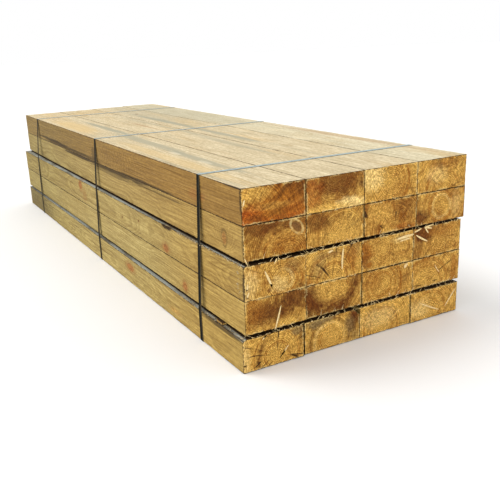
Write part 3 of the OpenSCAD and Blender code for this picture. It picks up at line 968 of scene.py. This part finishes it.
# long slivers that the saw left on the near ends
slivers = {
    "colour": (1.0, 0.80, 0.42), "shade": (0.72, 0.48, 0.17),
    "steps": 9, "sides": 6, "bow": 0.0012, "tip": 0.08, "roundness": 0.7, "flatness": 0.45,
    # course, column, from (y, z) to (y, z) in metres, width and lift in mm
    "strips": [
        (3, 1, (-0.33, 0.287), (-0.307, 0.233), 6.5, 4.0),
        (4, 1, (-0.279, 0.176), (-0.304, 0.106), 5.5, 4.5),
        (3, 2, (-0.062, 0.303), (-0.07, 0.236), 6.5, 4.0),
        (5, 1, (-0.259, 0.052), (-0.291, 0.017), 4.0, 2.5),
        (5, 4, (0.394, 0.083), (0.342, 0.027), 5.0, 4.0), (5, 4, (0.236, 0.062), (0.32, 0.022), 5.0, 4.0),
        (3, 3, (0.138, 0.289), (0.206, 0.296), 9.0, 2.5), (3, 3, (0.15, 0.281), (0.192, 0.285), 5.0, 2.5),
        (3, 4, (0.216, 0.29), (0.264, 0.262), 6.0, 3.5), (3, 4, (0.252, 0.309), (0.278, 0.302), 6.0, 5.0),
        (3, 4, (0.252, 0.309), (0.264, 0.288), 5.0, 5.0),
        (3, 4, (0.254, 0.309), (0.284, 0.314), 4.0, 5.0),
        (3, 2, (-0.118, 0.296), (-0.1, 0.301), 6.0, 2.0),
        (4, 3, (0.171, 0.192), (0.178, 0.208), 11.0, 6.0),
        (3, 4, (0.21, 0.299), (0.236, 0.309), 5.5, 4.5),
        (1, 1, (-0.378, 0.488), (-0.384, 0.47), 5.0, 1.5),
        (5, 1, (-0.345, 0.088), (-0.33, 0.098), 4.5, 3.0), (4, 4, (0.3, 0.178), (0.32, 0.148), 3.0, 2.0),
        (3, 1, (-0.3, 0.3), (-0.286, 0.322), 4.0, 4.0), (3, 1, (-0.384, 0.262), (-0.388, 0.24), 5.0, 3.0),
        (3, 1, (-0.38, 0.236), (-0.388, 0.218), 5.0, 3.0),
        (2, 1, (-0.386, 0.33), (-0.38, 0.312), 4.0, 3.0)],
}


def sliverShape(start, end, width, lift, bow):      # a tapered, slightly bowed strip, closed at both tips
    start, end = np.array(start, float), np.array(end, float)
    along = (end - start) / np.linalg.norm(end - start)
    out = np.array([1.0, 0, 0])
    across = np.cross(out, along)
    steps, sides, tip = slivers["steps"], slivers["sides"], slivers["tip"]
    points, faces = [start], []
    for step in range(1, steps):
        share = step / steps
        rise = out * lift * share * share
        middle = start + (end - start) * share + rise + across * bow * math.sin(math.pi * share)
        half = width / 2 * math.sin(math.pi * (tip + (1 - 2 * tip) * share)) ** slivers["roundness"]
        thick = half * slivers["flatness"]
        for turn in range(sides):
            angle = 2 * math.pi * turn / sides
            points.append(middle + across * half * math.cos(angle) + out * thick * math.sin(angle))
    points.append(end + out * lift)
    last = len(points) - 1
    for turn in range(sides):
        after = (turn + 1) % sides
        faces.append((0, 1 + turn, 1 + after))
        faces.append((last, last - sides + after, last - sides + turn))
        for step in range(steps - 2):
            low, high = 1 + step * sides, 1 + (step + 1) * sides
            faces.append((low + turn, high + turn, high + after, low + after))
    return points, faces


def sliverWood(name, colour, shade):
    made, tree = newMaterial(name)
    spot = put(tree, "ShaderNodeTexCoord").outputs["Object"]
    fleck = ramp(tree, noise(tree, spot, (120, 300, 300), 3.0, 0.6), 0.35, 0.7)
    finishWith(tree, {
        "Base Color": mixed(tree, fleck, colour, shade),
        "Roughness": calc(tree, "MULTIPLY_ADD", fleck, 0.2, 0.6),
        "Normal": bumpFrom(tree, fleck, 0.5, 0.0005),
        "Specular IOR Level": 0.25})
    return made


tornWood = sliverWood("torn_wood", slivers["colour"], slivers["shade"])
inside = (np.array(cadBox[0]) + 0.0001, np.array(cadBox[1]) - 0.0001)   # loose fibre stays in this box
points, faces = [], []
for number, (course, column, first, second, width, lift) in enumerate(slivers["strips"]):
    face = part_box(f"sleeper_course{course}_column{column}")[1].x + 0.0002
    bow = slivers["bow"] * math.sin(number * 2.1)
    morePoints, moreFaces = sliverShape((face, *first), (face, *second), width / 1000, lift / 1000, bow)
    faces += [tuple(len(points) + corner for corner in corners) for corners in moreFaces]
    points += [(min(x, inside[1][0]), y, z) for x, y, z in morePoints]
sliverMesh = bpy.data.meshes.new("torn_slivers")
sliverMesh.from_pydata(points, [], faces)
addPiece("torn_slivers", sliverMesh, tornWood)
print("slivers made:", len(slivers["strips"]))


# torn fibre and crumbs, strewn along guide lines
def strewnFibres():
    tree = bpy.data.node_groups.new("strewnFibres", "GeometryNodeTree")
    takes = {
        "Guides": "Geometry", "Spacing": "Float", "Chance": "Float", "Length": "Float", "Thickness": "Float",
        "Bend": "Float", "Turn From": "Vector", "Turn To": "Vector", "Scatter": "Vector", "Seed": "Int",
        "Material": "Material"}
    for label, kind in takes.items():
        tree.interface.new_socket(label, in_out="INPUT", socket_type="NodeSocket" + kind)
    tree.interface.new_socket("Fibres", in_out="OUTPUT", socket_type="NodeSocketGeometry")
    take = tree.nodes.new("NodeGroupInput").outputs
    give = tree.nodes.new("NodeGroupOutput").inputs

    def randomOf(kind, wires, offset):              # each use draws with a seed of its own
        node = put(tree, "FunctionNodeRandomValue", wires, data_type=kind)
        wire(tree, calc(tree, "ADD", take["Seed"], offset), node.inputs["Seed"])
        return next(socket for socket in node.outputs if socket.enabled)

    fibre = put(tree, "GeometryNodeMeshCone", {
        "Vertices": 5, "Side Segments": 4, "Radius Top": times(tree, take["Thickness"], 0.1),
        "Radius Bottom": take["Thickness"], "Depth": take["Length"]}).outputs["Mesh"]
    height = axisOf(tree, tree.nodes.new("GeometryNodeInputPosition").outputs[0], "Z")
    share = calc(tree, "POWER", calc(tree, "DIVIDE", height, take["Length"]), 2.0)
    bent = vectorOf(tree, Y=times(tree, share, take["Bend"]))
    fibre = put(tree, "GeometryNodeSetPosition", {"Geometry": fibre, "Offset": bent}).outputs["Geometry"]

    line = put(tree, "GeometryNodeMeshToCurve", {"Mesh": take["Guides"]}).outputs["Curve"]
    line = put(tree, "GeometryNodeResampleCurve", {
        "Curve": line, "Length": take["Spacing"]}, mode="LENGTH").outputs["Curve"]
    back = steer(tree, "MULTIPLY", take["Scatter"], (-1, -1, -1))
    scatter = randomOf("FLOAT_VECTOR", {0: back, 1: take["Scatter"]}, 1)
    line = put(tree, "GeometryNodeSetPosition", {"Geometry": line, "Offset": scatter}).outputs["Geometry"]
    strewn = put(tree, "GeometryNodeInstanceOnPoints", {
        "Points": line, "Instance": fibre,
        "Selection": randomOf("BOOLEAN", {"Probability": take["Chance"]}, 2),
        "Rotation": randomOf("FLOAT_VECTOR", {0: take["Turn From"], 1: take["Turn To"]}, 3),
        "Scale": randomOf("FLOAT_VECTOR", {0: (0.5, 0.5, 0.3), 1: (1.3, 1.3, 1.5)}, 4)}).outputs["Instances"]
    whole = put(tree, "GeometryNodeRealizeInstances", {"Geometry": strewn}).outputs["Geometry"]
    whole = put(tree, "GeometryNodeSetMaterial", {
        "Geometry": whole, "Material": take["Material"]}).outputs["Geometry"]
    wire(tree, whole, give["Fibres"])
    return tree


fibreTree = strewnFibres()


def strew(name, guides, values):                    # guides: pairs of end points
    lines = bpy.data.meshes.new(name + "_guides")
    edges = [(2 * number, 2 * number + 1) for number in range(len(guides))]
    lines.from_pydata([point for pair in guides for point in pair], edges, [])
    holder = bpy.data.objects.new(name + "_guides", lines)
    bpy.context.collection.objects.link(holder)
    layer = holder.modifiers.new("strew", "NODES")
    layer.node_group = fibreTree
    for socket in fibreTree.interface.items_tree:
        if socket.in_out == "INPUT" and socket.name in values:
            layer[socket.identifier] = values[socket.name]
    bpy.context.view_layer.update()
    shown = holder.evaluated_get(bpy.context.evaluated_depsgraph_get())
    made = bpy.data.meshes.new_from_object(shown)
    bpy.data.objects.remove(holder)
    points = np.empty(len(made.vertices) * 3, np.float32)
    made.vertices.foreach_get("co", points)
    points = np.clip(points.reshape(-1, 3), *inside)
    made.vertices.foreach_set("co", points.ravel())
    made.name = name
    made.materials.clear()
    addPiece(name, made, values["Material"])


whiskers = {
    "Spacing": 0.004, "Chance": 0.42, "Length": 0.014, "Thickness": 0.0009, "Bend": 0.003,
    "Turn From": (-1.9, 0.02, 0.0), "Turn To": (1.9, 0.30, 0.0), "Scatter": (0.0015, 0.002, 0.0015),
    "Seed": 5, "Material": tornWood,
}
gapLines, jointLines = [], []
sideInset = 0.004                                   # from the sides of each sleeper
for course in (1, 2, 3, 4, 5):
    for column in (1, 2, 3, 4):
        low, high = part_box(f"sleeper_course{course}_column{column}")
        start, end = low.y + sideInset, high.y - sideInset
        if course in (2, 4):                        # these hang over a gap, and 3 and 5 lie under one
            gapLines.append(((high.x - 0.002, start, low.z + 0.001), (high.x - 0.002, end, low.z + 0.001)))
        elif course in (3, 5):
            gapLines.append(((high.x - 0.002, start, high.z - 0.001), (high.x - 0.002, end, high.z - 0.001)))
        if course in (1, 3):                        # the tight joints under them
            jointLines.append(((high.x - 0.001, start, low.z), (high.x - 0.001, end, low.z)))
strew("gap_whiskers", gapLines, whiskers)
strew("joint_whiskers", jointLines, {**whiskers, "Chance": 0.14, "Length": 0.009, "Seed": 23})

crumbs = {
    "Spacing": 0.005, "Chance": 0.6, "Length": 0.005, "Thickness": 0.0018, "Bend": 0.0,
    "Turn From": (1.2, -3.1, -3.1), "Turn To": (1.9, 3.1, 3.1), "Scatter": (0.003, 0.003, 0.0002),
    "Seed": 9, "Material": sliverWood("crumb_wood", (0.62, 0.50, 0.30), (0.10, 0.07, 0.035)),
}
ledgeStart = 0.9                                    # they lie from here to the near end
ledgeLines = []
for course in (3, 5):
    low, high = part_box(f"sleeper_course{course}_column1")
    z = high.z + 0.0004
    for inset in (0.004, 0.009):
        ledgeLines.append(((ledgeStart, low.y + inset + 0.006, z), (high.x - 0.01, low.y + inset + 0.012, z)))
low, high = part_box("sleeper_course3_column1")
cornerX, cornerY = high.x - 0.003, low.y + 0.002
ledgeLines.append(((cornerX, cornerY, low.z + 0.01), (cornerX, cornerY, high.z - 0.004)))
strew("ledge_crumbs", ledgeLines, crumbs)
print("torn fibre made")

# strap: dark enamel, with a painted sky reflection, blue-grey, where it lies flat, and a painted highlight
# along its near edge
strap = {
    # the last colour on the next line is a painted highlight along the near edge
    "enamel": (0.008, 0.009, 0.007), "scuff": (0.035, 0.036, 0.028), "edgeHighlight": (0.10, 0.08, 0.045),
    # the first two colours on the next line are the painted sky reflection on flat tops
    "top": (0.36, 0.44, 0.44), "skyReflectionScuff": (0.52, 0.60, 0.60), "rust": (0.09, 0.045, 0.018),
    "edgeHighlightWidth": 0.0055, "edgeHighlightFull": 0.001,         # metres in from the near edge of the strip: the painted highlight along it
}
strapCover = {"scuff": 0.6, "edgeHighlight": 0.75, "paintedSkyReflection": 0.9, "rust": 0.45}


def strapSteel(name, nearEdge):
    made, tree = newMaterial(name)
    where = put(tree, "ShaderNodeTexCoord")
    spot = where.outputs["Object"]
    isTop = ramp(tree, axisOf(tree, where.outputs["Normal"], "Z"), 0.5, 0.8)
    scuffs = ramp(tree, noise(tree, spot, (160, 30, 30), 3.0, 0.65), 0.48, 0.72)
    rust = ramp(tree, noise(tree, spot, (70, 45, 45), 4.0, 0.6), 0.55, 0.72)
    # a painted highlight along the near edge of the strip
    edgeHighlightStart, edgeHighlightFull = nearEdge - strap["edgeHighlightWidth"], nearEdge - strap["edgeHighlightFull"]
    edgeHighlight = ramp(tree, axisOf(tree, spot, "X"), edgeHighlightStart, edgeHighlightFull)
    colour = mixed(tree, times(tree, scuffs, strapCover["scuff"]), strap["enamel"], strap["scuff"])
    colour = mixed(tree, times(tree, edgeHighlight, strapCover["edgeHighlight"]), colour, strap["edgeHighlight"])
    # on flat tops, a painted reflection of the sky in blue-grey, scuffed
    paintedSkyReflection = mixed(tree, scuffs, strap["top"], strap["skyReflectionScuff"])
    colour = mixed(tree, times(tree, isTop, strapCover["paintedSkyReflection"]), colour, paintedSkyReflection)
    finishWith(tree, {
        "Base Color": mixed(tree, times(tree, rust, strapCover["rust"]), colour, strap["rust"]),
        "Roughness": calc(tree, "MULTIPLY_ADD", scuffs, 0.2, 0.45),
        "Normal": bumpFrom(tree, calc(tree, "ADD", scuffs, rust), 0.4, 0.0004),
        "Specular IOR Level": 0.3, "IOR": 1.07})
    return made


# seal: pressed sheet, brushed along the strap and rubbed bright
seal = {"plate": (0.16, 0.165, 0.16), "worn": (0.42, 0.42, 0.40), "rust": (0.13, 0.06, 0.022)}
sealRustCover = 0.6


def sealSteel(name):
    made, tree = newMaterial(name)
    spot = put(tree, "ShaderNodeTexCoord").outputs["Object"]
    brushed = ramp(tree, noise(tree, spot, (900, 900, 60), 3.0, 0.6), 0.35, 0.65)
    worn = ramp(tree, noise(tree, spot, (120, 120, 120), 3.0, 0.6), 0.45, 0.65)
    rust = ramp(tree, noise(tree, spot, (170, 170, 170), 4.0, 0.6), 0.58, 0.72)
    bright = times(tree, worn, calc(tree, "MULTIPLY_ADD", brushed, 0.5, 0.4))
    colour = mixed(tree, bright, seal["plate"], seal["worn"])
    finishWith(tree, {
        "Base Color": mixed(tree, times(tree, rust, sealRustCover), colour, seal["rust"]),
        "Metallic": calc(tree, "MULTIPLY_ADD", rust, -0.6, 0.8),
        "Roughness": calc(tree, "MULTIPLY_ADD", brushed, 0.2, 0.32),
        "Normal": bumpFrom(tree, calc(tree, "ADD", brushed, worn), 0.4, 0.0002)})
    return made


for at in places:
    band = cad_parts[f"strap_{at}"]
    band.material_slots[0].material = strapSteel(f"strap_steel_{at}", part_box(f"strap_{at}")[1].x)
    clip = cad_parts[f"seal_{at}"]
    clip.material_slots[0].material = sealSteel(f"seal_steel_{at}")
print("straps and seals finished")

floorLook = {"reach": 40, "drop": 0.0004, "colour": (0.88, 0.88, 0.88, 1), "roughness": 0.9}
reach, level = floorLook["reach"], -floorLook["drop"]
corners = [(-reach, -reach, level), (reach, -reach, level), (reach, reach, level), (-reach, reach, level)]
floorMesh = bpy.data.meshes.new("floor")
floorMesh.from_pydata(corners, [], [(0, 1, 2, 3)])
floor = bpy.data.objects.new("floor", floorMesh)
floorPaint = bpy.data.materials.new("floor_paint")
floorPaint.use_nodes = True
paint = floorPaint.node_tree.nodes["Principled BSDF"].inputs
paint["Base Color"].default_value = floorLook["colour"]
paint["Roughness"].default_value = floorLook["roughness"]
floorMesh.materials.append(floorPaint)
bpy.context.collection.objects.link(floor)
print("floor laid")
